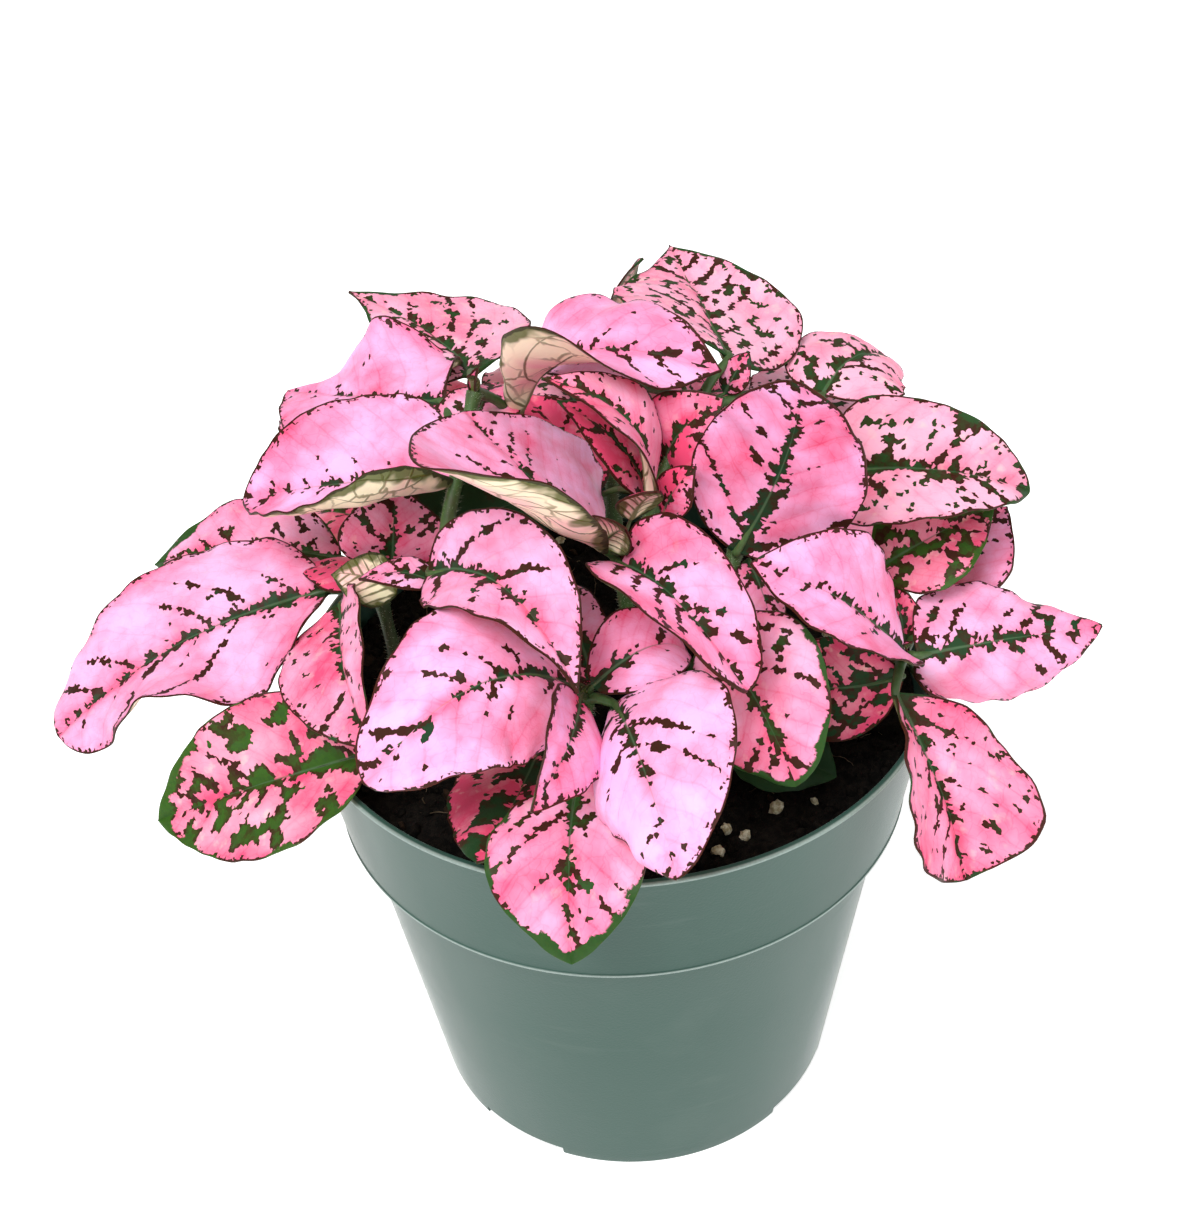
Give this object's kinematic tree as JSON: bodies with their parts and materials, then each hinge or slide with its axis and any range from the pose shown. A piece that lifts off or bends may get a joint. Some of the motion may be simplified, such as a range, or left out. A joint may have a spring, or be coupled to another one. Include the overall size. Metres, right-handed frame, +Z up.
{
  "type": "potted polka dot plant",
  "caption": "Bushy polka dot plant with pink, green-veined leaves, rooted in soil in a round tapered nursery pot with a wide rim band and a flat base.",
  "frame": {"origin": "middle of the pot's flat underside, where it rests", "axes": "+Z up along the pot's axis, -Y towards the side seen in the picture, +X to that viewer's right"},
  "size_m": [0.1687, 0.1307, 0.1513],
  "materials": {
    "pot_plastic": "satin moulded polypropylene, grey green",
    "soil": "damp peat potting soil",
    "leaves": "thin soft leaf with green veins and specks"
  },
  "bodies": {
    "root": {"pot": "pot_plastic", "soil": "soil", "leafy_stem_front": "leaves", "leafy_stem_middle": "leaves", "leafy_stem_left": "leaves", "leafy_stem_upper_left": "leaves", "leafy_stem_right": "leaves", "leafy_stem_upper_right": "leaves", "leafy_stem_top": "leaves", "leafy_stem_back": "leaves", "leafy_stem_back_left": "leaves", "leafy_stem_back_right": "leaves"}
  },
  "joints": []
}
